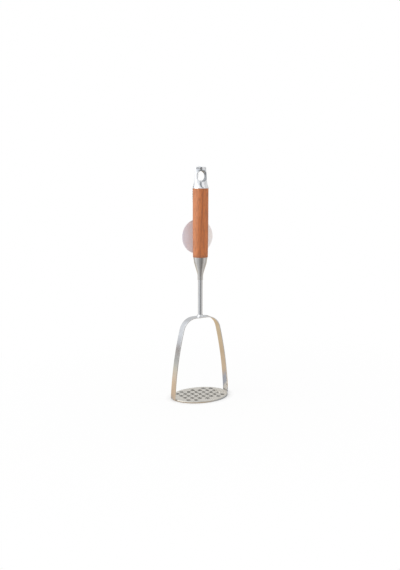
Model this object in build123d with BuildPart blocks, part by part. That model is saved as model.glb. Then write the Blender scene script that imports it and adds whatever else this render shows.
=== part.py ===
from build123d import *
from math import ceil, cos, radians, sin, sqrt
import os

# Potato masher with a turned wooden handle, a bent strap yoke and an oval pressed plate.
# Millimetres and degrees. +Z runs up the handle, X along the yoke and the plate's long axis,
# +Y to the back. The origin is on the masher's axis, at the level that the plate stands on.

os.makedirs("parts", exist_ok=True)

# Shared clearances
overrun = 1.0
static_fit = 0.1
lying_gap = 0.3
joint_gap = 0.05

# Mashing plate
plate_half_length = 39.0
plate_half_width = 30.0
plate_height = 2.4
sheet_thickness = 0.9
rim_radius = 1.2
hole_diameter = 6.2
hole_pitch = 9.8
hole_land = 2.2
hole_chamfer = 0.2
notch_side_gap = 0.4

# Yoke, a flat strap bent over the top, down both sides and in under the plate
strap_width = 11.2
strap_thickness = 1.2
strap_edge_radius = 0.35
yoke_height = 107.3
shoulder_radius = 20.0
shoulder_lean = 14.0
foot_lean = 2.6
foot_bend_radius = 0.5
foot_length = 13.0

# Shank, a round rod with a thinner tang above and a spigot below
rod_diameter = 6.0
rod_length = 48.2
tang_diameter = 5.0
spigot_diameter = 4.0
spigot_head_diameter = 5.6
spigot_head_height = 1.4
collar_foot_diameter = 9.6
collar_neck_diameter = 7.0
collar_height = 2.6
collar_lip = 0.5

# Ferrule
ferrule_length = 29.5
ferrule_rim_diameter = 18.4
ferrule_knee_diameter = 15.9
ferrule_knee_drop = 7.8
ferrule_neck_drop = 22.6
ferrule_lip_wall = 0.35
ferrule_wall = 0.8
ferrule_knee_bend = 15.0
ferrule_neck_bend = 20.0

# Wooden handle
handle_diameter = 20.0
handle_foot_diameter = 19.2
handle_length = 87.8
handle_taper_length = 48.0
handle_edge_radius = 0.4
tenon_depth = 5.0
washer_diameter = 13.0
washer_thickness = 1.5

# End cap and its hanging eye
cap_height = 26.8
cap_edge_radius = 1.2
eye_width = 12.4
eye_height = 13.7
eye_floor = 8.0
eye_edge_radius = 0.7
tang_head_diameter = 6.4
tang_head_height = 1.8

# Wire hook pinched round the eye's top bar
hook_wire_diameter = 1.2
hook_side = -1.0
hook_back = 9.6
hook_drop = 1.5
hook_front_reach = 4.2
hook_tip_rise = 1.5

# Bead chain and tag
bead_diameter = 2.4
bead_pitch = 3.2
link_diameter = 0.9
bead_rest_gap = 0.15
top_bight_radius = 2.2
top_bight_lean = 15.0
bight_radius = 5.2
bight_turn = 67.0
clasp_wall = 0.35
clasp_mouth_radius = 0.8
clasp_place_share = 0.5
tag_diameter = 45.0
tag_thickness = 0.6
tag_hole_diameter = 4.4
tag_hole_inset = 4.6
tag_edge_radius = 0.15
tag_twist = -1.5
tag_side_offset = 4.8
tag_hang_gap = 0.2
bight_rise = 44.05

# Levels up the masher's axis
strap_top = yoke_height
lip_level = strap_top + rod_length
rim_level = lip_level + ferrule_length
cap_foot_level = rim_level + handle_length
cap_top_level = cap_foot_level + cap_height
eye_floor_level = cap_foot_level + eye_floor
eye_top_level = eye_floor_level + eye_height
plate_under = plate_height - sheet_thickness

# Half sizes that several pieces share
rod_radius = rod_diameter / 2
tang_radius = tang_diameter / 2
spigot_radius = spigot_diameter / 2
handle_radius = handle_diameter / 2
handle_foot_radius = handle_foot_diameter / 2
bead_radius = bead_diameter / 2
link_radius = link_diameter / 2
tag_radius = tag_diameter / 2


# Mashing plate: a pan pressed from one sheet, open below, with staggered rows of round holes
row_spacing = hole_pitch * sqrt(3) / 2
reach_length = plate_half_length - hole_land - hole_diameter / 2
reach_width = plate_half_width - hole_land - hole_diameter / 2
column_count = ceil(reach_length / row_spacing)
row_count = ceil(reach_width / hole_pitch) + 1


def hole_centres():
    """Centres of the holes, in columns across the plate, each second column half a pitch along."""
    centres = []
    for column in range(-column_count, column_count + 1):
        stagger = hole_pitch / 2 * (column % 2)
        for row in range(-row_count, row_count + 1):
            x = column * row_spacing
            y = row * hole_pitch + stagger
            if (x / reach_length) ** 2 + (y / reach_width) ** 2 <= 1:
                centres.append((x, y))
    return centres


notch_width = strap_width + 2 * notch_side_gap
notch_depth = rim_radius + sheet_thickness

with BuildPart() as mashing_plate:
    with BuildSketch(Plane.XY):
        Ellipse(plate_half_length, plate_half_width)
    extrude(amount=plate_height)
    fillet(mashing_plate.edges().group_by(Axis.Z)[-1], radius=rim_radius)
    with BuildSketch(Plane.XY):
        Ellipse(plate_half_length - sheet_thickness, plate_half_width - sheet_thickness)
    extrude(amount=plate_under, mode=Mode.SUBTRACT)
    with BuildSketch(Plane.XY):
        for side in (-1, 1):
            with Locations((side * plate_half_length, 0)):
                Rectangle(2 * notch_depth, notch_width)
    extrude(amount=plate_under, mode=Mode.SUBTRACT)
    with Locations((0, 0, plate_height)):
        with Locations(*hole_centres()):
            CounterSinkHole(
                radius=hole_diameter / 2,
                counter_sink_radius=hole_diameter / 2 + hole_chamfer,
                depth=plate_height,
                counter_sink_angle=90,
            )
mashing_plate.part.label = "mashing_plate"


# Yoke strap, drawn as its middle line and given its thickness, one side mirrored from the other
shoulder_mid = shoulder_radius - strap_thickness / 2
bend_mid = foot_bend_radius + strap_thickness / 2
foot_mid_level = plate_under - strap_thickness / 2
strap_mid_level = strap_top - strap_thickness / 2
leg_rise = (
    strap_mid_level
    - foot_mid_level
    - shoulder_mid * (1 - sin(radians(shoulder_lean)))
    - bend_mid * (1 + sin(radians(foot_lean)))
)
leg_mid = leg_rise / (sin(radians(shoulder_lean)) - sin(radians(foot_lean)))
leg_spread = leg_mid * (cos(radians(foot_lean)) - cos(radians(shoulder_lean)))
leg_mid_reach = plate_half_length + foot_bend_radius + strap_thickness / 2
flat_half_length = leg_mid_reach - leg_spread - shoulder_mid * cos(radians(shoulder_lean))

with BuildPart() as yoke_strap:
    with BuildSketch(Plane.XZ):
        with BuildLine() as strap_line:
            top = Line((0, strap_mid_level), (flat_half_length, strap_mid_level))
            shoulder = JernArc(top @ 1, top % 1, shoulder_mid, -(90 - shoulder_lean))
            leg = JernArc(shoulder @ 1, shoulder % 1, leg_mid, -(shoulder_lean - foot_lean))
            bend = JernArc(leg @ 1, leg % 1, bend_mid, -(90 + foot_lean))
            foot = Line(bend @ 1, (bend @ 1) + (bend % 1) * foot_length)
        trace(line_width=strap_thickness)
        mirror(about=Plane.YZ)
    extrude(amount=strap_width / 2, both=True)
    long_edges = yoke_strap.faces().filter_by(Axis.Y).edges()
    fillet(long_edges.filter_by_position(Axis.Z, foot_bend_radius, strap_top + overrun), strap_edge_radius)
    with BuildSketch(Plane.XY.offset(strap_top)):
        Circle(spigot_radius + static_fit)
    extrude(amount=-2 * strap_thickness, mode=Mode.SUBTRACT)
yoke_strap.part.label = "yoke_strap"


# Shank rod: spigot head, spigot, rod, tang and the dome peened over on the eye's floor
shoulder_level = rim_level - tenon_depth - washer_thickness
spigot_head_level = strap_top - strap_thickness

with BuildPart() as shank_rod:
    with BuildSketch(Plane.XZ):
        with BuildLine():
            low = TangentArc(
                (0, spigot_head_level - spigot_head_height),
                (spigot_head_diameter / 2, spigot_head_level),
                tangent=(1, 0),
            )
            side = Polyline(
                low @ 1,
                (spigot_radius, spigot_head_level),
                (spigot_radius, strap_top),
                (rod_radius, strap_top),
                (rod_radius, shoulder_level),
                (tang_radius, shoulder_level),
                (tang_radius, eye_floor_level),
                (tang_head_diameter / 2, eye_floor_level),
            )
            high = TangentArc(
                (0, eye_floor_level + tang_head_height),
                side @ 1,
                tangent=(1, 0),
            )
            Line(high @ 0, low @ 0)
        make_face()
    revolve(axis=Axis.Z)
shank_rod.part.label = "shank_rod"


# Collar: a flared foot round the rod's lower end
collar_foot_radius = collar_foot_diameter / 2
collar_neck_radius = collar_neck_diameter / 2
collar_bore = rod_radius + static_fit

with BuildPart() as shank_collar:
    with BuildSketch(Plane.XZ):
        with BuildLine():
            rim = Polyline(
                (collar_neck_radius, strap_top + collar_height),
                (collar_bore, strap_top + collar_height),
                (collar_bore, strap_top),
                (collar_foot_radius, strap_top),
                (collar_foot_radius, strap_top + collar_lip),
            )
            TangentArc(rim @ 0, rim @ 1, tangent=(0, -1))
        make_face()
    revolve(axis=Axis.Z)
shank_collar.part.label = "shank_collar"


# Ferrule: a drawn sleeve, thick at its rim and feathered where it meets the rod
rim_outer = ferrule_rim_diameter / 2
knee_outer = ferrule_knee_diameter / 2
lip_inner = rod_radius + static_fit
lip_outer = lip_inner + ferrule_lip_wall
knee_level = rim_level - ferrule_knee_drop
neck_level = rim_level - ferrule_neck_drop
rim_slope = (rim_outer - knee_outer) / ferrule_knee_drop

with BuildPart() as ferrule:
    with BuildSketch(Plane.XZ):
        with BuildLine():
            outside = FilletPolyline(
                (rim_outer, rim_level),
                (knee_outer, knee_level),
                (lip_outer, neck_level),
                (lip_outer, lip_level),
                radius=(ferrule_knee_bend, ferrule_neck_bend),
            )
            inside = FilletPolyline(
                (lip_inner, lip_level),
                (lip_inner, neck_level + ferrule_wall),
                (knee_outer - ferrule_wall, knee_level),
                (rim_outer - ferrule_wall, rim_level),
                radius=(ferrule_neck_bend, ferrule_knee_bend),
            )
            Line(outside @ 1, inside @ 0)
            Line(inside @ 1, outside @ 0)
        make_face()
    revolve(axis=Axis.Z)
ferrule.part.label = "ferrule"


# Stop washer on the rod's shoulder, inside the ferrule
with BuildPart() as stop_washer:
    with BuildSketch(Plane.XY.offset(shoulder_level)):
        Circle(washer_diameter / 2)
        Circle(tang_radius + static_fit, mode=Mode.SUBTRACT)
    extrude(amount=washer_thickness)
stop_washer.part.label = "stop_washer"


# Wooden handle: straight for most of its length, eased in to its foot, with a tenon in the ferrule
tenon_root_radius = rim_outer - ferrule_wall - static_fit
tenon_end_radius = tenon_root_radius - rim_slope * tenon_depth
tenon_end_level = rim_level - tenon_depth
taper_level = rim_level + handle_taper_length

with BuildPart() as wood_handle:
    with BuildSketch(Plane.XZ):
        with BuildLine():
            grip = Line((handle_radius, cap_foot_level), (handle_radius, taper_level))
            taper = TangentArc(grip @ 1, (handle_foot_radius, rim_level), tangent=grip % 1)
            Polyline(
                taper @ 1,
                (tenon_root_radius, rim_level),
                (tenon_end_radius, tenon_end_level),
                (0, tenon_end_level),
                (0, cap_foot_level),
                grip @ 0,
            )
        make_face()
    revolve(axis=Axis.Z)
    foot_edge = wood_handle.edges().filter_by(GeomType.CIRCLE).filter_by_position(
        Axis.Z, rim_level - joint_gap, rim_level + joint_gap
    ).sort_by(SortBy.RADIUS)[-1]
    fillet(foot_edge, radius=handle_edge_radius)
    with BuildSketch(Plane.XY.offset(tenon_end_level)):
        Circle(tang_radius + static_fit)
    extrude(amount=cap_foot_level - tenon_end_level, mode=Mode.SUBTRACT)
wood_handle.part.label = "wood_handle"


# End cap: round at its foot, drawn in to an upright oval, then pierced by the eye
cap_rise_shares = (0, 0.06, 0.16, 0.28, 0.4, 0.55, 0.75, 1)
cap_width_shares = (1, 0.965, 0.915, 0.875, 0.855, 0.84, 0.805, 0.785)
cap_depth_shares = (1, 0.94, 0.75, 0.57, 0.46, 0.4, 0.35, 0.33)
eye_centre_level = (eye_floor_level + eye_top_level) / 2

with BuildPart() as hanging_cap:
    for rise_share, width_share, depth_share in zip(cap_rise_shares, cap_width_shares, cap_depth_shares):
        with BuildSketch(Plane.XY.offset(cap_foot_level + cap_height * rise_share)):
            Ellipse(handle_radius * width_share, handle_radius * depth_share)
    loft()
    top_edges = hanging_cap.faces().sort_by(Axis.Z)[-1].edges()
    fillet(top_edges, radius=cap_edge_radius)
    with BuildSketch(Plane.XZ):
        with Locations((0, eye_centre_level)):
            SlotOverall(eye_height, eye_width, rotation=90)
    extrude(amount=handle_radius + overrun, both=True, mode=Mode.SUBTRACT)
    eye_edges = hanging_cap.edges(Select.LAST).filter_by(GeomType.LINE, reverse=True)
    fillet(eye_edges, radius=eye_edge_radius)
    with BuildSketch(Plane.XY.offset(eye_floor_level)):
        Circle(tang_head_diameter / 2 + static_fit)
    extrude(amount=eye_height / 2, mode=Mode.SUBTRACT)
    with BuildSketch(Plane.XY.offset(cap_foot_level)):
        Circle(tang_radius + static_fit)
    extrude(amount=eye_floor, mode=Mode.SUBTRACT)
hanging_cap.part.label = "hanging_cap"


# Hook: one wire, down the bar's front, over its top, down behind the cap and up round the chain
hook_radius = hook_wire_diameter / 2
hook_bend = bead_radius + bead_rest_gap + hook_radius
bar_bend = cap_edge_radius + static_fit + hook_radius
hook_bar_back = handle_radius * cap_depth_shares[-2] + static_fit + hook_radius
hook_bar_top = cap_top_level + static_fit + hook_radius
hook_level = eye_floor_level - hook_drop
hook_front_tip = cap_top_level - hook_front_reach

with BuildPart() as hanging_hook:
    with BuildLine(Plane.YZ.offset(hook_side)) as hook_line:
        FilletPolyline(
            (-hook_bar_back, hook_front_tip),
            (-hook_bar_back, hook_bar_top),
            (hook_bar_back, hook_bar_top),
            (hook_back - hook_bend, hook_level - hook_bend),
            (hook_back + hook_bend, hook_level - hook_bend),
            (hook_back + hook_bend, hook_level + hook_tip_rise),
            radius=(bar_bend, bar_bend, hook_bend, hook_bend),
        )
    with BuildSketch(Plane(origin=hook_line.line @ 0, z_dir=hook_line.line % 0)):
        Circle(hook_radius)
    sweep(path=hook_line.line)
hanging_hook.part.label = "hanging_hook"


# Bead chain: a loop that hangs in the hook, with two strands down the handle's back to a bight
# that carries the tag. Each strand runs from the tag's bight up to the bead in the hook.


def spaced(guides):
    """Bead centres along guides end to end, as near the bead pitch as whole links allow."""
    length = sum(guide.length for guide in guides)
    count = round(length / bead_pitch)
    centres = []
    passed, remaining = 0, list(guides)
    for i in range(count + 1):
        ahead = length * i / count - passed
        while len(remaining) > 1 and ahead > remaining[0].length:
            ahead -= remaining[0].length
            passed += remaining.pop(0).length
        centres.append(remaining[0].position_at(ahead, position_mode=PositionMode.LENGTH))
    return centres


strand_radius = handle_radius + lying_gap + bead_radius
bight_level = bight_rise + rim_level
bight_reach = bight_radius * sin(radians(bight_turn))
bight_spread = bight_radius * cos(radians(bight_turn))
bight_back = strand_radius + bight_reach
bight_low = Vector(tag_side_offset, bight_back, bight_level)
bight_centre = bight_low + Vector(0, 0, bight_radius)
bight_front = bight_centre - Vector(bight_spread, bight_reach, 0)
bight_rear = bight_centre + Vector(bight_spread, bight_reach, 0)

upward = Vector(0, 0, 1)
lean_way = Vector(0, -sin(radians(top_bight_lean)), cos(radians(top_bight_lean)))
hook_point = Vector(hook_side, hook_back, hook_level)
left_top = hook_point - (lean_way + Vector(1, 0, 0)) * top_bight_radius
right_top = hook_point - (lean_way - Vector(1, 0, 0)) * top_bight_radius
strand_drop = hook_level - bight_centre.Z


def beside_handle(drop_shares, turns, stand_off_shares):
    """Points beside the handle: how far down, how far round its back and how far off it."""
    points = []
    for drop_share, turn, stand_off_share in zip(drop_shares, turns, stand_off_shares):
        radius = strand_radius + bead_pitch * stand_off_share
        level = hook_level - strand_drop * drop_share
        points.append(Vector(radius * sin(radians(turn)), radius * cos(radians(turn)), level))
    return points


left_drop_shares = (0.82, 0.62, 0.45, 0.32, 0.21, 0.12)
left_turns = (-4, -19, -23, -24, -23.5, -22)
left_stand_off_shares = (0.05, 0.05, 0.04, 0.04, 0.03, -0.04)
right_drop_shares = (0.8, 0.56, 0.33, 0.22, 0.12)
right_turns = (20, 22, 15, 11, 8)
right_stand_off_shares = (2, 1, 0.15, 0.04, -0.04)

with BuildLine():
    left_bight = TangentArc(bight_low, bight_front, tangent=bight_front - bight_centre)
    left_strand = Spline(
        bight_front,
        *beside_handle(left_drop_shares, left_turns, left_stand_off_shares),
        left_top,
        tangents=(upward, lean_way),
    )
    left_over = TangentArc(left_top, hook_point, tangent=lean_way)
with BuildLine():
    right_bight = TangentArc(bight_low, bight_rear, tangent=bight_rear - bight_centre)
    right_strand = Spline(
        bight_rear,
        *beside_handle(right_drop_shares, right_turns, right_stand_off_shares),
        right_top,
        tangents=(upward, lean_way),
    )
    right_over = TangentArc(right_top, hook_point, tangent=lean_way)
left_points = spaced((left_bight, left_strand, left_over))
right_points = spaced((right_bight, right_strand, right_over))
loop_points = list(reversed(left_points)) + right_points[1:]


def bead_group(name, centres):
    """Loose round beads, one solid each."""
    with BuildPart() as beads:
        with Locations(*centres):
            Sphere(bead_radius)
    beads.part.label = name
    return beads


def link_group(name, centres):
    """The short pins between neighbouring beads, one solid each."""
    with BuildPart() as links:
        for start, end in zip(centres, centres[1:]):
            along = end - start
            with Locations(Plane(origin=(start + end) / 2, z_dir=along).location):
                Cylinder(link_radius, along.length - 2 * (bead_radius + joint_gap))
    links.part.label = name
    return links


chain_beads = bead_group("chain_beads", loop_points[:-1])
chain_links = link_group("chain_links", loop_points)

# Clasp: a sleeve round two neighbouring beads of the right strand, with a mouth at each end
clasp_index = round(len(right_points) * clasp_place_share)
clasp_start, clasp_end = right_points[clasp_index], right_points[clasp_index + 1]
clasp_along = clasp_end - clasp_start
clasp_inner = bead_radius + joint_gap
clasp_outer = clasp_inner + clasp_wall
clasp_half_length = clasp_along.length / 2 + clasp_outer

with BuildPart() as chain_clasp:
    with BuildSketch(Plane(origin=(clasp_start + clasp_end) / 2, z_dir=clasp_along)):
        Circle(clasp_outer)
    extrude(amount=clasp_half_length, both=True)
    fillet(chain_clasp.edges().filter_by(GeomType.CIRCLE), radius=clasp_wall)
    with BuildSketch(Plane(origin=(clasp_start + clasp_end) / 2, z_dir=clasp_along)):
        Circle(clasp_inner)
    extrude(amount=clasp_half_length - clasp_wall, both=True, mode=Mode.SUBTRACT)
    with BuildSketch(Plane(origin=(clasp_start + clasp_end) / 2, z_dir=clasp_along)):
        Circle(clasp_mouth_radius)
    extrude(amount=clasp_half_length, both=True, mode=Mode.SUBTRACT)
chain_clasp.part.label = "chain_clasp"

# Tag: a round card, hung by its hole on the lowest bead and turned a little about the upright
tag_hole_radius = tag_hole_diameter / 2
tag_hang = tag_hole_radius - bead_radius - tag_hang_gap
tag_drop = tag_hang + tag_radius - tag_hole_inset
tag_along = Vector(cos(radians(tag_twist)), sin(radians(tag_twist)), 0)
tag_face = Vector(sin(radians(tag_twist)), -cos(radians(tag_twist)), 0)
tag_centre = bight_low - Vector(0, 0, tag_drop)
tag_plane = Plane(origin=tag_centre, x_dir=tag_along, z_dir=tag_face)

with BuildPart() as hang_tag:
    with BuildSketch(tag_plane):
        Circle(tag_radius)
    extrude(amount=tag_thickness / 2, both=True)
    fillet(hang_tag.edges().filter_by(GeomType.CIRCLE), radius=tag_edge_radius)
    with BuildSketch(tag_plane):
        with Locations((0, tag_radius - tag_hole_inset)):
            Circle(tag_hole_radius)
    extrude(amount=tag_thickness, both=True, mode=Mode.SUBTRACT)
hang_tag.part.label = "hang_tag"


pieces = {
    "mashing_plate": mashing_plate,
    "yoke_strap": yoke_strap,
    "shank_rod": shank_rod,
    "shank_collar": shank_collar,
    "ferrule": ferrule,
    "stop_washer": stop_washer,
    "wood_handle": wood_handle,
    "hanging_cap": hanging_cap,
    "hanging_hook": hanging_hook,
    "chain_beads": chain_beads,
    "chain_links": chain_links,
    "chain_clasp": chain_clasp,
    "hang_tag": hang_tag,
}
for name, piece in pieces.items():
    export_step(piece.part, f"parts/{name}.step")
    print(name, len(piece.part.solids()), round(piece.part.volume, 1))
print("chain_swing axis at", 0, hook_back, round(hook_level, 3))
print("tag_swing axis at", [round(c, 3) for c in bight_low], "along", [round(c, 5) for c in tag_along])
print("eye floor and top", eye_floor_level, eye_top_level, "cap top", cap_top_level)
print("beads in the loop", len(loop_points) - 1)
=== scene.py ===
# %% [markdown]
# # A potato masher, dressed for its portrait
#
# The masher arrives as finished solids: an oval plate, a bent strap, a rod, a ferrule, a wooden grip, a cap
# with an eye to hang it by, and a bead chain with a round tag. They are already in place, so this lesson is
# about looks. We build a few small shader groups, place them in one material per finish, and light the whole
# thing in a bright tent.

# %% Load the solids
from math import pi, radians

import bpy
from mathutils import Euler, Matrix, Vector


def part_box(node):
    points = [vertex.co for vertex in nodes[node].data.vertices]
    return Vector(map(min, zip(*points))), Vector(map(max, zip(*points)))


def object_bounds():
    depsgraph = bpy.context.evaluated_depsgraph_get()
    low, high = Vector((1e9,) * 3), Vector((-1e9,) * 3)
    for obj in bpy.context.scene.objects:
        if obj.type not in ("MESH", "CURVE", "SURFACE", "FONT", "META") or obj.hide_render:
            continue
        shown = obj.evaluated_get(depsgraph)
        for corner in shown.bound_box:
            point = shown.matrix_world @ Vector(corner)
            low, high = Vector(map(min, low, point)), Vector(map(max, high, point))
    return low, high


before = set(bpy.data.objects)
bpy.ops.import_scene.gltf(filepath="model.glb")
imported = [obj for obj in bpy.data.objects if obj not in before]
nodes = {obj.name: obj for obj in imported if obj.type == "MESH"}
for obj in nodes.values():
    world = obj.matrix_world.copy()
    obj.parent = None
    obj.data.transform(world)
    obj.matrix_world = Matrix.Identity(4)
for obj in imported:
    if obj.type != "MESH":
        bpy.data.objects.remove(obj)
size_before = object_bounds()
print("pieces:", ", ".join(sorted(nodes)))

# %% [markdown]
# ## A short way to write nodes
#
# A shader tree is a list of nodes and a list of wires. Blender's own calls for them are long, so a few
# helpers keep the cells readable. Most of them give back the socket that carries their result, so that a
# small calculation can be written as one line.

# %% Helpers: nodes and wires
def add(tree, kind, **values):
    """A new node. Keys that name a socket set its value, and other keys set the node's own properties."""
    made = tree.nodes.new(kind)
    for key, value in values.items():
        label = key.replace("_", " ").title()
        if label in made.inputs:
            made.inputs[label].default_value = value
        else:
            setattr(made, key, value)
    return made


def join(tree, source, target):
    """One wire between two sockets."""
    tree.links.new(source, target)


def feed(tree, source, target):
    """Sets a socket: by a wire if the source is a socket too, and to that constant if it isn't."""
    if isinstance(source, bpy.types.NodeSocket):
        join(tree, source, target)
    else:
        target.default_value = source


print("node helpers ready")

# %% Helpers: sums
def calculate(tree, operation, *sources, clamp=False):
    """A sum on numbers or sockets that carry numbers. Gives the result's socket."""
    made = add(tree, "ShaderNodeMath", operation=operation, use_clamp=clamp)
    for source, target in zip(sources, made.inputs):
        feed(tree, source, target)
    return made.outputs[0]


def calculate_place(tree, operation, *sources):
    """The same with places in space. A length, a distance and a dot product give a number."""
    made = add(tree, "ShaderNodeVectorMath", operation=operation)
    for source, target in zip(sources, made.inputs):
        feed(tree, source, target)
    gives_number = operation in ("LENGTH", "DISTANCE", "DOT_PRODUCT")
    return made.outputs["Value" if gives_number else "Vector"]


def spread(tree, source, low, high, start=0.0, end=1.0, smooth=False):
    """A value that runs from start to end, moved to run from low to high. Gives the new value's socket."""
    mapped = add(tree, "ShaderNodeMapRange", interpolation_type="SMOOTHSTEP" if smooth else "LINEAR")
    for label, limit in (("From Min", start), ("From Max", end), ("To Min", low), ("To Max", high)):
        feed(tree, limit, mapped.inputs[label])
    join(tree, source, mapped.inputs["Value"])
    return mapped.outputs["Result"]


def fade_in(tree, source, start, end):
    """A mask that is 0 up to the start and 1 from the end on."""
    return spread(tree, source, 0.0, 1.0, start, end)


def fade_out(tree, source, start, end):
    """A mask that is 1 up to the start and 0 from the end on."""
    return spread(tree, source, 1.0, 0.0, start, end)


print("sum helpers ready")

# %% [markdown]
# ## Groups of nodes
#
# Wear, tool marks and bare edges come back in one finish after another. A node group is Blender's way to
# draw such a thing once: it has named inputs, it can be placed in any material, and each place sets its own
# values. Copying the nodes would look the same, but a change would then have to be made in every copy.

# %% Helpers: groups and places
def start_group(name, output, **inputs):
    """An empty node group with these inputs and one output.

    Gives the tree, the sockets that bring its inputs, and the one that takes its output.
    """
    tree = bpy.data.node_groups.new(name, "ShaderNodeTree")
    for label, value in inputs.items():
        kind = "NodeSocketVector" if isinstance(value, tuple) else "NodeSocketFloat"
        socket = tree.interface.new_socket(name=label, in_out="INPUT", socket_type=kind)
        socket.default_value = value
    tree.interface.new_socket(name=output, in_out="OUTPUT", socket_type="NodeSocketFloat")
    given = tree.nodes.new("NodeGroupInput").outputs
    return tree, given, tree.nodes.new("NodeGroupOutput").inputs[output]


def place_group(tree, group, **values):
    """A node group placed in a material with its own values. Gives the socket of the group's output."""
    made = tree.nodes.new("ShaderNodeGroup")
    made.node_tree = group
    for label, value in values.items():
        made.inputs[label].default_value = value
    return made.outputs[0]


def object_place(tree):
    """The socket that carries the place on the object, in metres."""
    return add(tree, "ShaderNodeTexCoord").outputs["Object"]


print("group helpers ready")

# %% [markdown]
# ## Lines left by the tools
#
# Turned, drawn, brushed and sawn surfaces all carry fine lines that run one way. One recipe draws them all:
# take the place on the object, stretch it so that one direction counts for much more than the others, and
# read a noise there. Across the lines the noise changes fast, and along them hardly at all. Most of a noise
# lies in its middle, so that part of it is spread over the whole range. A picture of scratches could do it
# too, but it would need unwrapping, and it would not follow a rod and a flat bar with the same settings.

# %% Group: tool lines
tool_lines, given, result = start_group(
    "tool_lines", "Value", Stretch=(100.0, 100.0, 100.0), Detail=2.0, Low=0.0, High=1.0)
noise_low, noise_high = 0.3, 0.7
line_noise = add(tool_lines, "ShaderNodeTexNoise", Scale=1.0, Roughness=0.6)
stretched = calculate_place(tool_lines, "MULTIPLY", object_place(tool_lines), given["Stretch"])
join(tool_lines, stretched, line_noise.inputs["Vector"])
join(tool_lines, given["Detail"], line_noise.inputs["Detail"])
drawn = spread(tool_lines, line_noise.outputs["Fac"], given["Low"], given["High"], noise_low, noise_high)
join(tool_lines, drawn, result)
print("group", tool_lines.name, "takes", [socket.name for socket in given if socket.name])

# %% [markdown]
# ## Clouds of wear
#
# Nothing that is used keeps one even sheen. Fingers, washing up and drying leave broad soft patches. This
# group gives a mask for them: a broad noise, cut off below and above so that patches have a soft border and
# a quiet inside. The sharper the clouds, the closer together the two cuts.

# %% Group: wear clouds
wear_clouds, given, result = start_group("wear_clouds", "Mask", Scale=60.0, Sharpness=0.5)
lowest_cut = 0.1
cut_rise = 0.4
cloud_noise = add(wear_clouds, "ShaderNodeTexNoise", Detail=3.0, Roughness=0.55)
join(wear_clouds, object_place(wear_clouds), cloud_noise.inputs["Vector"])
join(wear_clouds, given["Scale"], cloud_noise.inputs["Scale"])
low_cut = calculate(wear_clouds, "MULTIPLY_ADD", given["Sharpness"], cut_rise, lowest_cut)
high_cut = calculate(wear_clouds, "SUBTRACT", 1.0, low_cut)
patches = spread(wear_clouds, cloud_noise.outputs["Fac"], 0.0, 1.0, low_cut, high_cut, smooth=True)
join(wear_clouds, patches, result)
print("group", wear_clouds.name, "takes", [socket.name for socket in given if socket.name])

# %% [markdown]
# ## Bare edges
#
# Edges are rubbed first. A bevel node asks what the surface would look like with its edges rounded, and where
# that answer leaves the real normal there is an edge nearby. The distance between the two is the mask.

# %% Group: bare edges
bare_edges, given, result = start_group("bare_edges", "Mask", Width=0.0006, Strength=3.0)
rounded = add(bare_edges, "ShaderNodeBevel", samples=4)
join(bare_edges, given["Width"], rounded.inputs["Radius"])
real_normal = add(bare_edges, "ShaderNodeNewGeometry").outputs["Normal"]
apart = calculate_place(bare_edges, "DISTANCE", rounded.outputs["Normal"], real_normal)
join(bare_edges, calculate(bare_edges, "MULTIPLY", apart, given["Strength"], clamp=True), result)
print("group", bare_edges.name, "takes", [socket.name for socket in given if socket.name])

# %% [markdown]
# ## Starting a material
#
# Each finish starts the same way: an empty tree, one Principled shader, one output. Values that are the same
# all over the piece are set on the shader's own sockets. Only what changes over the surface is wired in:
# colours that are laid over each other by masks, the roughness, and a bump.

# %% Helpers: materials
def start_material(name, **constants):
    """A material with one Principled shader that has these constants. Gives material, tree and shader."""
    made = bpy.data.materials.new(name)
    made.use_nodes = True
    tree = made.node_tree
    tree.nodes.clear()
    shader = add(tree, "ShaderNodeBsdfPrincipled", **constants)
    join(tree, shader.outputs["BSDF"], add(tree, "ShaderNodeOutputMaterial").inputs["Surface"])
    return made, tree, shader


# A mix node holds sockets for numbers, places and colours side by side. These are their slots:
# first and second input, and result.
number_slots = (2, 3, 0)
colour_slots = (6, 7, 2)


def mix_colours(tree, mask, first, second):
    """Two colours, or sockets that carry colours, mixed by a mask. Gives the mixed colour's socket."""
    mixer = add(tree, "ShaderNodeMix", data_type="RGBA")
    first_slot, second_slot, result_slot = colour_slots
    join(tree, mask, mixer.inputs[0])
    for slot, colour in ((first_slot, first), (second_slot, second)):
        feed(tree, (*colour, 1.0) if isinstance(colour, tuple) else colour, mixer.inputs[slot])
    return mixer.outputs[result_slot]


def mix_numbers(tree, mask, first, second):
    """The same with numbers."""
    mixer = add(tree, "ShaderNodeMix", data_type="FLOAT")
    first_slot, second_slot, result_slot = number_slots
    join(tree, mask, mixer.inputs[0])
    feed(tree, first, mixer.inputs[first_slot])
    feed(tree, second, mixer.inputs[second_slot])
    return mixer.outputs[result_slot]


def lay_over(tree, under, mask, paint, most):
    """A colour laid over another where the mask says so, at most this strongly. Gives the mix's socket."""
    return mix_colours(tree, spread(tree, mask, 0.0, most), under, paint)


def raise_surface(tree, normal, height, distance, strength=1.0):
    """Wires a height into a normal socket. Distance is the height of a full step, in metres."""
    bump = add(tree, "ShaderNodeBump", Strength=strength, Distance=distance)
    join(tree, height, bump.inputs["Height"])
    join(tree, bump.outputs["Normal"], normal)
    return bump


print("material helpers ready")

# %% [markdown]
# ## Polished metal
#
# Steel, nickel and a polished casting differ in tint, in how their lines run and in how far the polish went,
# not in kind. So one function makes them all. The colour drifts a little between two tints, the roughness
# follows the tool lines and the wear clouds, and a very low bump lets reflections run with a slight
# unevenness, as they do on anything that was finished by hand against a wheel.

# %% A recipe for polished metal
def set_polish(tree, shader, lines, clouds, polish, line_share):
    """Roughness between (least, most). The tool lines have this share in it and the clouds the rest."""
    by_clouds = spread(tree, clouds, 0.0, 1.0 - line_share)
    by_both = calculate(tree, "MULTIPLY_ADD", lines, line_share, by_clouds)
    join(tree, spread(tree, by_both, *polish), shader.inputs["Roughness"])


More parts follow.
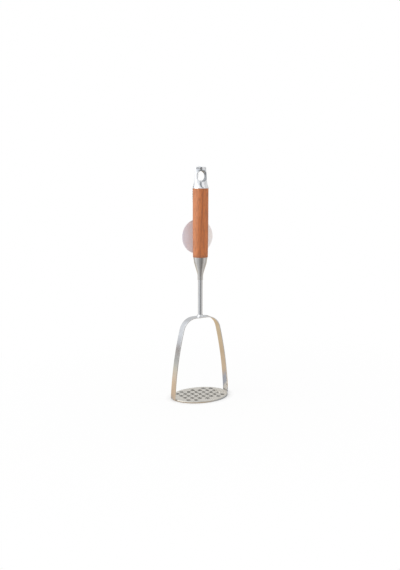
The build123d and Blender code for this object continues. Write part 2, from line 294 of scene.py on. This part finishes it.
def polished_metal(name, tint, stain, stretch, polish, line_depth, cloud_scale=60.0, wobble=0.0):
    """Metal with lines along one way. Polish is (least, most) roughness, and depths are in metres."""
    made, tree, shader = start_material(name, Metallic=1.0)
    lines = place_group(tree, tool_lines, Stretch=stretch, Detail=3.0)
    clouds = place_group(tree, wear_clouds, Scale=cloud_scale, Sharpness=0.6)
    join(tree, mix_colours(tree, clouds, tint, stain), shader.inputs["Base Color"])
    set_polish(tree, shader, lines, clouds, polish, line_share=0.6)
    bump = raise_surface(tree, shader.inputs["Normal"], lines, line_depth)
    if wobble:
        ripple = place_group(tree, wear_clouds, Scale=cloud_scale * 2, Sharpness=0.0)
        raise_surface(tree, bump.inputs["Normal"], ripple, wobble)
    return made


print("metal recipe ready")

# %% [markdown]
# ## The cap, the shank and the chain
#
# The cap is a casting, buffed until it is nearly a mirror. The rod, its collar and the ferrule are steel,
# polished on the lathe, so their lines run round them: a stretch that is highest along Z draws lines that
# run round an upright rod. The washer hidden in the ferrule is plain steel, and the hook a bent wire with a
# satin plating. The beads are coloured nearly black, and their links and clasp a dull grey, with the faint
# dimples that tumbling leaves.

# %% Cap, hook and shank
around = (30.0, 30.0, 5000.0)
cap_metal = polished_metal(
    "cap_metal", tint=(0.90, 0.91, 0.93), stain=(0.84, 0.85, 0.87), stretch=(60.0, 60.0, 900.0),
    polish=(0.07, 0.16), line_depth=0.000004, cloud_scale=90.0, wobble=0.00005)
hook_wire = polished_metal(
    "hook_wire", tint=(0.98, 0.98, 0.99), stain=(0.94, 0.95, 0.96), stretch=(2500.0, 900.0, 900.0),
    polish=(0.7, 0.85), line_depth=0.000006, cloud_scale=250.0)
rod_steel = polished_metal(
    "rod_steel", tint=(0.86, 0.88, 0.91), stain=(0.80, 0.81, 0.83), stretch=around,
    polish=(0.12, 0.24), line_depth=0.000004, cloud_scale=80.0)
ferrule_steel = polished_metal(
    "ferrule_steel", tint=(0.78, 0.77, 0.76), stain=(0.70, 0.68, 0.66), stretch=around,
    polish=(0.12, 0.26), line_depth=0.000005, cloud_scale=90.0)
collar_steel = polished_metal(
    "collar_steel", tint=(0.82, 0.83, 0.85), stain=(0.76, 0.76, 0.77), stretch=around,
    polish=(0.12, 0.22), line_depth=0.000003, cloud_scale=150.0)
washer_steel = polished_metal(
    "washer_steel", tint=(0.56, 0.56, 0.56), stain=(0.45, 0.44, 0.42), stretch=(900.0, 40.0, 900.0),
    polish=(0.3, 0.5), line_depth=0.00001)
print("made", cap_metal.name, hook_wire.name, rod_steel.name, ferrule_steel.name, collar_steel.name,
      washer_steel.name)

# %% The chain's metals
every_way = (2500.0, 2500.0, 2500.0)
bead_metal = polished_metal(
    "bead_metal", tint=(0.06, 0.05, 0.045), stain=(0.04, 0.035, 0.03), stretch=every_way,
    polish=(0.5, 0.6), line_depth=0.00001, cloud_scale=300.0)
link_metal = polished_metal(
    "link_metal", tint=(0.30, 0.28, 0.26), stain=(0.22, 0.20, 0.19), stretch=every_way,
    polish=(0.2, 0.35), line_depth=0.00001, cloud_scale=400.0)
clasp_metal = polished_metal(
    "clasp_metal", tint=(0.30, 0.28, 0.26), stain=(0.22, 0.20, 0.18), stretch=(2000.0, 2000.0, 300.0),
    polish=(0.16, 0.3), line_depth=0.00001, cloud_scale=250.0)
print("made", bead_metal.name, link_metal.name, clasp_metal.name)

# %% [markdown]
# ## The hook's dark tip
#
# The hook's tip lies down the front of the cap's top bar, and there its colour is darkened. A second material
# would need faces of its own, so a mask does it: two short fades multiplied, one along Y that stays near the
# front, and one along Z that stays below the bend over the bar.

# %% Hook: a dark tip
def reopen(material):
    """The tree and the shader of a material that was made before."""
    tree = material.node_tree
    return tree, next(node for node in tree.nodes if node.type == "BSDF_PRINCIPLED")


def paint_over(tree, shader, mask, paint):
    """Lays a colour over the one that the shader has now."""
    under = shader.inputs["Base Color"].links[0].from_socket
    join(tree, mix_colours(tree, mask, under, paint), shader.inputs["Base Color"])


def split(tree, place):
    """The X, Y and Z of a place: sockets by name."""
    parts = add(tree, "ShaderNodeSeparateXYZ")
    join(tree, place, parts.inputs[0])
    return parts.outputs


tree, shader = reopen(hook_wire)
hook_low, hook_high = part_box("hanging_hook")
hook_front, hook_top = hook_low[1], hook_high[2]
tip_darkening = (0.12, 0.125, 0.13)
dark_behind_front, plain_behind_front = 0.0012, 0.0026
dark_below_top, plain_below_top = 0.0019, 0.0012
along = split(tree, object_place(tree))
at_front = fade_out(tree, along["Y"], hook_front + dark_behind_front, hook_front + plain_behind_front)
below_bend = fade_out(tree, along["Z"], hook_top - dark_below_top, hook_top - plain_below_top)
# the colour is darkened at the tip, near the front and below the bend
paint_over(tree, shader, calculate(tree, "MULTIPLY", at_front, below_bend), tip_darkening)
print("hook is", round((hook_high[1] - hook_front) * 1000, 1), "mm from front to back, dark at its tip")

# %% [markdown]
# ## The eye: dull cast skin and painted shade
#
# A polishing wheel reaches the outside of the cap but hardly the walls of the eye. They keep the dull skin of
# the casting, and their colour is painted a darker grey as well, as painted shade in the hollow, most of all
# at the upper right, while the left edge and the floor stay bright. The eye runs straight from front to back,
# so its walls are all the points near its middle line, however deep they lie. A distance measured without the
# Y of the place makes the mask, and moving its middle a little to the right and up leaves out the bright
# side.

# %% Cap: dull walls and painted shade in the eye
tree, shader = reopen(cap_metal)
eye_middle = 0.28765
eye_half_width = 0.0062
eye_width_per_height = 0.905
mask_shift = 0.0010
shade_and_skin_start, shade_and_skin_end = 0.0004, 0.0010
wall_roughness = 0.5
mask_middle = (mask_shift, 0.0, eye_middle + mask_shift)
from_middle = calculate_place(tree, "SUBTRACT", object_place(tree), mask_middle)
flat = calculate_place(tree, "MULTIPLY", from_middle, (1.0, 0.0, eye_width_per_height))
reach = calculate_place(tree, "LENGTH", flat)
eye_shade_and_skin = fade_out(tree, reach, eye_half_width + shade_and_skin_start, eye_half_width + shade_and_skin_end)
grain = place_group(tree, wear_clouds, Scale=900.0, Sharpness=0.4)
# painted shade: the eye's walls take a darker grey, two greys mixed by a fine noise
paint_over(tree, shader, eye_shade_and_skin, mix_colours(tree, grain, (0.40, 0.42, 0.44), (0.48, 0.50, 0.52)))
polished = shader.inputs["Roughness"].links[0].from_socket
join(tree, mix_numbers(tree, eye_shade_and_skin, polished, wall_roughness), shader.inputs["Roughness"])
print("eye middle at", eye_middle, "m, half width", eye_half_width, "m")

# %% [markdown]
# ## The strap
#
# The yoke is bent from flat bar that was brushed along its length before bending, so its lines follow it
# over the top and down the legs: they change fast only across the width. Its colour carries a painted
# reflection: warm near the plate, as of the tan table, and cool towards the top. Patches of colour would look
# like paint there. A slow ramp up the height carries the tone from the foot to the shoulder instead.

# %% A recipe for colour ramps
def ramp_colours(tree, source, stops):
    """A colour read off a ramp, from stops of (value, colour) in order. Gives the colour's socket."""
    made = add(tree, "ShaderNodeValToRGB")
    join(tree, source, made.inputs[0])
    elements = made.color_ramp.elements
    while len(elements) < len(stops):
        elements.new(0.5)  # anywhere between the first and the last: the next loop moves it
    for element, (value, colour) in zip(elements, stops):
        element.position = value
        element.color = (*colour, 1.0)
    return made.outputs["Color"]


print("ramp recipe ready")

# %% Strap steel
strap_steel, tree, shader = start_material("strap_steel", Metallic=1.0)
strap_low, strap_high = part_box("yoke_strap")
shoulder = strap_high[2] * 0.85
lines = place_group(tree, tool_lines, Stretch=(12.0, 5000.0, 12.0), Detail=3.0)
clouds = place_group(tree, wear_clouds, Scale=45.0, Sharpness=0.4)
edges = place_group(tree, bare_edges, Width=0.0007, Strength=1.6)
# painted reflection: the colour ramps from warm near the plate, where the strap mirrors the tan table, to
# cool towards the shoulder
climb = fade_in(tree, split(tree, object_place(tree))["Z"], strap_low[2], shoulder)
tone = ramp_colours(tree, climb, [(0.0, (0.78, 0.74, 0.70)), (0.45, (0.80, 0.79, 0.78)),
                                  (1.0, (0.84, 0.86, 0.89))])
colour = lay_over(tree, tone, clouds, (0.52, 0.50, 0.48), most=0.35)
colour = mix_colours(tree, edges, colour, (0.80, 0.80, 0.80))
join(tree, colour, shader.inputs["Base Color"])
join(tree, spread(tree, lines, low=0.10, high=0.2), shader.inputs["Roughness"])
raise_surface(tree, shader.inputs["Normal"], lines, distance=0.000004)
print("made", strap_steel.name, "with a tone ramp up to", round(shoulder, 3), "m")

# %% [markdown]
# ## The plate
#
# The plate is thin sheet, pressed in one stroke: a dull satin that holds more starch and water marks than
# any other piece. Its rolling lines run along the oval. The burr round each hole is rubbed clean and cool.
# Round the turned-down rim the colour is greyer and darker. The rim is no piece of its own, so its mask is
# the share of the way out to the oval's edge.

# %% Plate: a mask for the rim
def share_of_oval(tree, place, corner):
    """How far out a place lies, as a share of the way to the edge of the oval that has this corner."""
    out_of_middle = calculate_place(tree, "DIVIDE", place, (corner[0], corner[1], 1.0))
    return calculate_place(tree, "LENGTH", out_of_middle)


plate_steel, tree, shader = start_material("plate_steel", Metallic=1.0)
plate_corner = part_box("mashing_plate")[1]
rim_start, rim_end, rim_most = 0.955, 0.985, 0.85
plate_share = share_of_oval(tree, object_place(tree), plate_corner)
at_rim = spread(tree, plate_share, 0.0, rim_most, rim_start, rim_end)
print("rim starts", round(plate_corner[0] * rim_start * 1000, 1), "mm from the middle")

# %% Plate steel
lines = place_group(tree, tool_lines, Stretch=(15.0, 2500.0, 800.0), Detail=3.0)
clouds = place_group(tree, wear_clouds, Scale=55.0, Sharpness=0.3)
spots = place_group(tree, wear_clouds, Scale=260.0, Sharpness=0.8)
edges = place_group(tree, bare_edges, Width=0.0007, Strength=1.5)
colour = mix_colours(tree, clouds, (0.90, 0.86, 0.79), (0.79, 0.76, 0.69))
colour = lay_over(tree, colour, spots, (0.88, 0.85, 0.80), most=0.3)
colour = lay_over(tree, colour, edges, (0.88, 0.89, 0.84), most=0.7)
colour = mix_colours(tree, at_rim, colour, (0.60, 0.59, 0.55))
join(tree, colour, shader.inputs["Base Color"])
set_polish(tree, shader, lines, clouds, polish=(0.3, 0.46), line_share=0.5)
raise_surface(tree, shader.inputs["Normal"], lines, distance=0.000008)
print("made", plate_steel.name)

# %% [markdown]
# ## The wooden grip
#
# The grip is turned from a straight-grained orange-brown hardwood. A stick cut out of a trunk shows slices
# of its growth rings, and because the stick never lies quite true to the trunk, the ring lines drift
# slantwise down it. So the rings are drawn round an axis well outside the grip and tipped by a few degrees. A
# picture of planks would have its grain on the surface only, while rings drawn in space also meet at the
# ends. The wave texture counts 20 radians to the metre at a scale of one, which gives the spacing printed.

# %% Wood: growth rings on a tipped trunk
handle_wood, tree, shader = start_material("handle_wood", Coat_Weight=0.12, Coat_Roughness=0.3)
ring_scale = 52.0
trunk_offset = (0.034, 0.012, 0.0)
trunk_tip = (radians(1.5), radians(2.6), radians(20.0))
wood_place = object_place(tree)
trunk = add(tree, "ShaderNodeMapping", Location=trunk_offset, Rotation=trunk_tip)
join(tree, wood_place, trunk.inputs["Vector"])
rings = add(tree, "ShaderNodeTexWave", wave_type="RINGS", rings_direction="Z", wave_profile="SAW",
            Scale=ring_scale, Distortion=2.2, Detail=2.0, Detail_Scale=1.6)
join(tree, trunk.outputs["Vector"], rings.inputs["Vector"])
ring_tone = ramp_colours(tree, rings.outputs["Fac"], [
    (0.0, (0.52, 0.150, 0.034)), (0.7, (0.45, 0.124, 0.028)), (1.0, (0.34, 0.086, 0.018))])
rings_per_metre = 20.0 * ring_scale / (2 * pi)
print("rings every", round(1000 / rings_per_metre, 1), "mm or so")

# %% [markdown]
# ## One broad line of late wood, and painted light on its left
#
# One ring had a broad band of dark late wood. It crosses the whole grip as a tipped flat slice, with a soft
# right side. Left of it the grip is painted lighter, as painted light on the side towards the left lamp. No
# ring pattern puts a line just there, so the slice and that painted light are drawn by themselves, by how far
# a place lies along one sideways direction. A broad noise keeps their borders from being ruled straight. Fine
# fibres, many times longer than they are wide, lie under it.

# %% Wood: fibres, the late line and painted light
sideways = (0.866, -0.5, -0.045)
late_line = -0.0096
lit_side_start, lit_side_end = late_line - 0.0065, late_line - 0.0015
left_start, left_end = late_line - 0.0006, late_line + 0.0003
right_start, right_end = late_line + 0.0006, late_line + 0.0024
lit_side_most, line_most = 0.5, 0.7
shake = 0.0005
fibres = place_group(tree, tool_lines, Stretch=(1500.0, 1500.0, 35.0), Detail=4.0)
colour = lay_over(tree, ring_tone, fibres, (0.58, 0.172, 0.042), most=0.5)
ripple = add(tree, "ShaderNodeTexNoise", Scale=70.0, Detail=2.0)
join(tree, wood_place, ripple.inputs["Vector"])
shaken = spread(tree, ripple.outputs["Fac"], -shake, shake, noise_low, noise_high)
aside = calculate(tree, "ADD", calculate_place(tree, "DOT_PRODUCT", wood_place, sideways), shaken)
# painted light: the side of the grip towards the left lamp is lifted half way to a lighter orange
lit_left_side = spread(tree, aside, lit_side_most, 0.0, lit_side_start, lit_side_end)
colour = mix_colours(tree, lit_left_side, colour, (0.72, 0.30, 0.15))
line_left = spread(tree, aside, 0.0, line_most, left_start, left_end)
line_right = fade_out(tree, aside, right_start, right_end)
colour = mix_colours(tree, calculate(tree, "MULTIPLY", line_left, line_right), colour, (0.27, 0.072, 0.018))
print("the late line moves", round(-sideways[2] * 100, 1), "mm aside on each 100 mm up")

# %% [markdown]
# ## Pores, sheen and painted shade at the ends
#
# Short open pores lie between the fibres: the tool lines again, with a low end so far below zero that only
# their peaks are left. Handling has polished the wood in patches. Its ends are painted darker, as painted
# shade where the wood meets the ferrule and the cap. Fibres stand up a little and pores lie deep.

# %% Wood: pores, clouds and painted shade at the ends
wood_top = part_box("wood_handle")[1][2]
grip_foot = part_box("ferrule")[1][2]
foot_reach, foot_most = 0.004, 0.5
top_reach, top_most = 0.002, 0.35
pores = place_group(tree, tool_lines, Stretch=(2600.0, 2600.0, 130.0), Detail=1.0, Low=-1.6, High=1.0)
clouds = place_group(tree, wear_clouds, Scale=40.0, Sharpness=0.2)
open_pores = calculate(tree, "MAXIMUM", pores, 0.0)
colour = mix_colours(tree, open_pores, colour, (0.20, 0.068, 0.028))
colour = lay_over(tree, colour, clouds, (0.63, 0.215, 0.07), most=0.3)
height = split(tree, wood_place)["Z"]
# painted shade: the grip darkens towards the ferrule below and towards the cap above
foot_shade = spread(tree, height, foot_most, 0.0, grip_foot, grip_foot + foot_reach)
top_shade = spread(tree, height, 0.0, top_most, wood_top - top_reach, wood_top)
colour = mix_colours(tree, calculate(tree, "ADD", foot_shade, top_shade), colour, (0.22, 0.085, 0.04))
join(tree, colour, shader.inputs["Base Color"])
join(tree, spread(tree, clouds, low=0.42, high=0.56), shader.inputs["Roughness"])
relief = calculate(tree, "SUBTRACT", spread(tree, fibres, low=0.0, high=0.25), open_pores)
raise_surface(tree, shader.inputs["Normal"], relief, distance=0.00012, strength=0.7)
print("made", handle_wood.name, "from", round(grip_foot, 3), "to", round(wood_top, 3), "m")

# %% [markdown]
# ## The tag
#
# A round of stiff pearly card, mauve grey, with painted light across it: cooler and darker on one side and
# warmer and lighter towards the other. That drift is painted on, as coloured lamps would tint the wood too.
# Card is never smooth: its fibres lie mostly one way, and its cut edge is a little paler than its face.

# %% Tag card
tag_card, tree, shader = start_material("tag_card", Coat_Weight=0.25, Coat_Roughness=0.25, Sheen_Weight=0.15)
tag_low, tag_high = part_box("hang_tag")
fibres = place_group(tree, tool_lines, Stretch=(350.0, 350.0, 900.0), Detail=5.0)
clouds = place_group(tree, wear_clouds, Scale=35.0, Sharpness=0.1)
edges = place_group(tree, bare_edges, Width=0.0009, Strength=2.0)
# painted light: across X the card runs from cool and darker to warm and lighter
painted_light_drift = fade_in(tree, split(tree, object_place(tree))["X"], tag_low[0], tag_high[0])
colour = mix_colours(tree, painted_light_drift, (0.79, 0.82, 0.93), (0.93, 0.90, 0.85))
colour = lay_over(tree, colour, clouds, (0.82, 0.80, 0.86), most=0.4)
colour = lay_over(tree, colour, fibres, (0.90, 0.86, 0.87), most=0.18)
colour = lay_over(tree, colour, edges, (0.92, 0.88, 0.89), most=0.7)
join(tree, colour, shader.inputs["Base Color"])
join(tree, spread(tree, fibres, low=0.38, high=0.52), shader.inputs["Roughness"])
raise_surface(tree, shader.inputs["Normal"], fibres, distance=0.00002, strength=0.6)
print("made", tag_card.name, "for a tag", round((tag_high[2] - tag_low[2]) * 1000, 1), "mm across")

# %% [markdown]
# ## Dressing the pieces
#
# Every solid came with one slot and a flat stand-in colour. Putting the new material in that slot is all it
# takes, because every pattern above is read from the place on the object and needs no unwrapping.

# %% Put the materials on
finishes = {
    "mashing_plate": plate_steel,
    "yoke_strap": strap_steel,
    "shank_rod": rod_steel,
    "shank_collar": collar_steel,
    "ferrule": ferrule_steel,
    "stop_washer": washer_steel,
    "wood_handle": handle_wood,
    "hanging_cap": cap_metal,
    "hanging_hook": hook_wire,
    "chain_beads": bead_metal,
    "chain_links": link_metal,
    "chain_clasp": clasp_metal,
    "hang_tag": tag_card,
}
for piece, finish in finishes.items():
    for holder in nodes[piece].material_slots:
        holder.material = finish
print("dressed", len(finishes), "of", len(nodes), "pieces")

# %% [markdown]
# ## Bands round the upright
#
# Polished metal shows its surroundings more than itself, so the surroundings are where its look is made.
# Everything round the masher is painted in bands by bearing: how far round from the side it is photographed
# from, with plus to the lens's right. Each upright rod then mirrors the bands as light and dark stripes. The
# table and the cloth above it use the same recipe. Modelled walls and boards would do it too, but each stripe
# would have to be found by moving a board, where a band is moved by one number.

# %% A recipe for bands
camera_turn = radians(-30.0)


def face_lens(tree, place):
    """The X, Y and Z of a place, turned so that X runs to the lens's right and Y away from it."""
    turned = add(tree, "ShaderNodeMapping", Rotation=(0.0, 0.0, -camera_turn))
    join(tree, place, turned.inputs["Vector"])
    return split(tree, turned.outputs["Vector"])


def bands(tree, turned, stops):
    """Colours by bearing, from stops of (degrees, colour) from -180 to 180. Gives the colour's socket."""
    towards_lens = calculate(tree, "MULTIPLY", turned["Y"], -1.0)
    bearing = calculate(tree, "ARCTAN2", turned["X"], towards_lens)
    share = fade_in(tree, bearing, radians(-180.0), radians(180.0))
    return ramp_colours(tree, share, [((degrees + 180) / 360, colour) for degrees, colour in stops])


def grey(level, warm=0.0):
    """A grey, a little warmer, or cooler with warm below zero."""
    return (level * (1 + warm), level, level * (1 - warm))


print("band recipe ready")

# %% [markdown]
# ## The table
#
# What the metal mirrors is a table of its own, painted on a plain pale floor: nearly white on the left, dark
# in front, grey on the right and tan behind. Behind on the left its tone changes with distance too: tan, then
# grey, then a dim brown, and pale where it ends. The strap's near leg shows those tones one above the other.
# Close round the plate the table is tan on every side, apart from a cooler patch just behind, which the foot
# of the far leg shows. One flat colour would leave the strap looking like grey plastic.

# %% Floor: bands that the metal mirrors
floor_size, floor_drop = 40.0, 0.0002
bpy.ops.mesh.primitive_grid_add(
    x_subdivisions=8, y_subdivisions=8, size=floor_size, location=(0.0, 0.0, -floor_drop))
floor = bpy.context.object
floor.name = "table_top"
table_paint = bpy.data.materials.new("table_paint")
table_paint.use_nodes = True
tree = table_paint.node_tree
tree.nodes.clear()
floor_place = object_place(tree)
floor_turned = face_lens(tree, floor_place)
far_tan = (0.67, 0.50, 0.32)
table_bands = [
    (-180, far_tan), (-140, (0.70, 0.53, 0.32)), (-115, (0.80, 0.70, 0.54)), (-106, grey(0.90)),
    (-90, grey(0.92, -0.01)), (-76, grey(0.74)), (-56, grey(0.58, -0.01)), (-36, grey(0.60, -0.01)),
    (-16, grey(0.36)), (4, grey(0.32, 0.01)), (20, grey(0.22, 0.02)), (38, grey(0.26, 0.05)),
    (52, grey(0.46, 0.04)), (66, grey(0.64, 0.03)), (81, grey(0.72, 0.02)), (98, grey(0.56, 0.03)),
    (110, grey(0.48, 0.03)), (130, grey(0.64, 0.06)), (180, far_tan),
]
mirrored = bands(tree, floor_turned, table_bands)
print("floor", floor.dimensions[:2], "with", len(table_bands), "stops in its bands")

# %% Floor: tones by distance, behind on the left
table_reach = 3.0
distance_tones = [
    (0.0, (0.74, 0.60, 0.48)), (0.13, (0.80, 0.63, 0.46)), (0.19, (0.84, 0.71, 0.57)),
    (0.28, (0.80, 0.74, 0.62)), (0.38, (0.68, 0.69, 0.64)), (0.48, (0.54, 0.55, 0.55)),
    (0.7, (0.58, 0.58, 0.57)), (1.0, (0.36, 0.31, 0.28)), (1.5, (0.36, 0.31, 0.28)),
    (2.1, (0.76, 0.79, 0.83)),
]
distance = calculate_place(tree, "LENGTH", floor_place)
tones = ramp_colours(tree, fade_in(tree, distance, 0.0, table_reach),
                     [(metres / table_reach, colour) for metres, colour in distance_tones])
print("distance tones out to", distance_tones[-1][0], "m:", len(distance_tones))

# %% Floor: where those tones lie, and what is close by
# How far back a place lies is counted from a line in front of the upright, as a share of its distance.
front_line = 0.06
side_border, back_border, left_border = (0.30, 0.42), (0.88, 0.98), (0.0, -0.15)
close_border, patch_border, patch_back = (0.10, 0.16), (0.050, 0.068), (0.9, 1.1)
backward = calculate(tree, "DIVIDE", calculate(tree, "ADD", floor_turned["Y"], front_line), distance)
sideward = calculate(tree, "DIVIDE", floor_turned["X"], distance)
behind = calculate(tree, "MULTIPLY", fade_in(tree, backward, *side_border),
                   fade_out(tree, backward, *back_border))
behind_left = calculate(tree, "MULTIPLY", behind, fade_in(tree, sideward, *left_border))
close_by = fade_out(tree, distance, *close_border)
just_behind = calculate(tree, "MULTIPLY", fade_out(tree, distance, *patch_border),
                        fade_in(tree, backward, *patch_back))
mirrored = mix_colours(tree, close_by, mirrored, (0.70, 0.55, 0.39))
mirrored = mix_colours(tree, behind_left, mirrored, tones)
mirrored = mix_colours(tree, just_behind, mirrored, (0.48, 0.51, 0.58))
print("the table is tan out to", close_border[0], "m")

# %% [markdown]
# ## What the lens sees of the floor
#
# To the lens the floor is nearly white, as in a catalogue, but the plate still has to stand on something. So
# the floor keeps its own shade under the plate, where the holes stay dark, and is lifted towards white from
# the plate's edge outwards. More light would bleach the masher along with the floor, so the lift is an
# emission that only the lens sees. The metal sees the painted table instead, nearly black under the plate.

# %% Floor: shade under the plate, white beyond
def mix_shaders(tree, mask, first, second):
    """Two shaders mixed by a mask. Gives the mixed shader's socket."""
    mixer = add(tree, "ShaderNodeMixShader")
    for source, target in zip((mask, first, second), mixer.inputs):
        join(tree, source, target)
    return mixer.outputs[0]


from_plate = share_of_oval(tree, floor_place, plate_corner)
shade_end, lift_end, white_from = 0.9, 1.25, 12.0
first_lift = 0.9
beside = spread(tree, from_plate, 0.0, first_lift, shade_end, lift_end)
further = spread(tree, from_plate, 0.0, 1.0 - first_lift, lift_end, white_from)
lifted = calculate(tree, "ADD", beside, further, clamp=True)
matt = add(tree, "ShaderNodeBsdfDiffuse", Color=(0.88, 0.87, 0.86, 1.0)).outputs[0]
white = add(tree, "ShaderNodeEmission", Strength=1.0).outputs[0]
seen = mix_shaders(tree, lifted, matt, white)
print("floor keeps its shade out to", round(plate_corner[0] * shade_end * 1000, 1), "mm along X")

# %% Floor: one material for all rays
ray = add(tree, "ShaderNodeLightPath").outputs
dark_end, dark_gone = 0.85, 1.1
in_shade = fade_out(tree, from_plate, dark_end, dark_gone)
tinted = add(tree, "ShaderNodeEmission", Strength=1.0)
join(tree, mix_colours(tree, in_shade, mirrored, (0.07, 0.065, 0.06)), tinted.inputs["Color"])
for_lens = mix_shaders(tree, ray["Is Camera Ray"], matt, seen)
for_metal = mix_shaders(tree, ray["Is Glossy Ray"], for_lens, tinted.outputs[0])
join(tree, for_metal, add(tree, "ShaderNodeOutputMaterial").inputs["Surface"])
floor.data.materials.append(table_paint)
print("floor wears", table_paint.name)

# %% [markdown]
# ## The light tent
#
# Above the table hangs white cloth, greyer behind the masher, under a pale roof. High up it is open, a little
# to the right of the lens. The opening leans, so its bearing changes on the way up, and it shows in the cap's
# flared foot as a narrow cool wedge. Three rows of bands, one above the other, draw it. Low down behind the
# masher the cloth ends short of the table, and that gap draws thin grey lines along the cap's sides. The
# lens itself sees plain white, because the world asks each ray whether it comes straight from the camera.

# %% World: three rows of cloth
world = bpy.data.worlds.new("light_tent")
bpy.context.scene.world = world
world.use_nodes = True
tree = world.node_tree
tree.nodes.clear()
way = face_lens(tree, add(tree, "ShaderNodeTexCoord").outputs["Generated"])
opening = grey(0.25, -0.05)
cloth_far_left = [(-180, grey(0.66)), (-150, grey(0.66)), (-124, grey(0.9, -0.02))]
cloth_left = [(-90, grey(1.0, -0.01)), (-12, grey(0.98, -0.01))]
cloth_right = [(100, grey(0.6)), (122, grey(0.85)), (150, grey(0.66)), (180, grey(0.66))]
low_bands = cloth_far_left + cloth_left + [
    (8, grey(0.86, -0.02)), (22, grey(0.78, -0.04)), (38, grey(0.8, -0.04)), (56, grey(0.95)),
    (78, grey(0.9)),
] + cloth_right
middle_bands = cloth_far_left + cloth_left + [
    (20, grey(0.9, -0.02)), (30, grey(0.5, -0.05)), (38, opening), (49, opening), (55, grey(0.7)),
    (62, grey(0.95)), (84, grey(0.9)),
] + cloth_right
high_bands = [(-180, grey(0.92))] + cloth_left + [
    (8, grey(0.7, -0.02)), (18, opening), (42, opening), (50, grey(0.6, -0.03)), (58, grey(0.95)),
    (100, grey(0.95)), (180, grey(0.92)),
]
middle_row, high_row = (0.42, 0.58), (0.68, 0.8)
cloth = mix_colours(tree, fade_in(tree, way["Z"], *middle_row),
                    bands(tree, way, low_bands), bands(tree, way, middle_bands))
cloth = mix_colours(tree, fade_in(tree, way["Z"], *high_row), cloth, bands(tree, way, high_bands))
print("tent bands:", len(low_bands), "low,", len(middle_bands), "half way up and", len(high_bands), "high")

# %% World: the cloth's foot, the roof and what the lens sees
roof_start, roof_full = 0.9, 0.98
gap_most, gap_full, gap_end = 0.85, 0.06, 0.2
back_start, back_full = 0.6, 0.9
low_down = spread(tree, way["Z"], gap_most, 0.0, gap_full, gap_end)
to_the_back = fade_in(tree, way["Y"], back_start, back_full)
cloth = mix_colours(tree, calculate(tree, "MULTIPLY", low_down, to_the_back), cloth, (0.24, 0.25, 0.27))
roof = spread(tree, way["Z"], 0.0, 1.0, roof_start, roof_full, smooth=True)
inside = mix_colours(tree, roof, cloth, (0.92, 0.93, 0.95))
to_lens = add(tree, "ShaderNodeLightPath").outputs["Is Camera Ray"]
light = add(tree, "ShaderNodeBackground", Strength=1.0)
join(tree, mix_colours(tree, to_lens, inside, (1.0, 1.0, 1.0)), light.inputs["Color"])
join(tree, light.outputs[0], add(tree, "ShaderNodeOutputWorld").inputs["Surface"])
print("world", world.name)

# %% [markdown]
# ## Two lamps
#
# The tent alone would be flat. A large soft lamp on the left and a weaker one on the right give the wood its
# bright flanks and the shadow its direction. Both are wide and low in strength, so that nothing burns out.
# The right one is dimmer than the cloth behind it, so it is kept out of mirrors, where it would show as a
# grey square.

# %% Lamps
def soft_lamp(name, place, aim, watts, size=1.6):
    """A square area lamp that looks at a point."""
    data = bpy.data.lights.new(name, "AREA")
    data.size = size
    data.energy = watts
    lamp = bpy.data.objects.new(name, data)
    bpy.context.collection.objects.link(lamp)
    lamp.location = place
    away = lamp.location - aim
    lamp.rotation_euler = away.to_track_quat("Z", "Y").to_euler()
    return lamp


middle = (Vector(size_before[0]) + Vector(size_before[1])) / 2
left_lamp = soft_lamp("left_lamp", Vector((-1.5, 0.25, 0.9)), middle, watts=10.0)
right_lamp = soft_lamp("right_lamp", Vector((0.9, -1.3, 0.8)), middle, watts=4.0)
right_lamp.visible_glossy = False
print("lamps:", left_lamp.name, right_lamp.name)

# %% [markdown]
# ## The camera
#
# The photograph was taken from the left front, level with the cap and tipped down by nine degrees, with a
# moderately long lens. The numbers come from fitting the plate's oval, the yoke and the levels of the pieces.
# A longer lens from further off would flatten the plate's oval, so distance and lens belong together.

# %% Camera
camera_distance = 0.9
camera_height = 0.28845
camera_left = 0.0004
camera_tip = radians(8.83)
camera_roll = radians(0.2)
focal_pixels = 703.0
picture_height = 570.0
lens_data = bpy.data.cameras.new("portrait_lens")
lens_data.sensor_fit = "VERTICAL"
lens_data.sensor_height = 36.0
lens_data.lens = lens_data.sensor_height * focal_pixels / picture_height
camera = bpy.data.objects.new("portrait_camera", lens_data)
bpy.context.collection.objects.link(camera)
stand = Vector((-camera_left, -camera_distance, camera_height))
stand.rotate(Euler((0.0, 0.0, camera_turn)))
camera.location = stand
aimed = Euler((radians(90.0) - camera_tip, 0.0, camera_turn)).to_matrix()
camera.rotation_euler = (aimed @ Matrix.Rotation(camera_roll, 3, "Z")).to_euler()
bpy.context.scene.camera = camera
bpy.context.scene.view_settings.view_transform = "Standard"
print("camera at", [round(c, 3) for c in camera.location], "lens", round(lens_data.lens, 1), "mm")
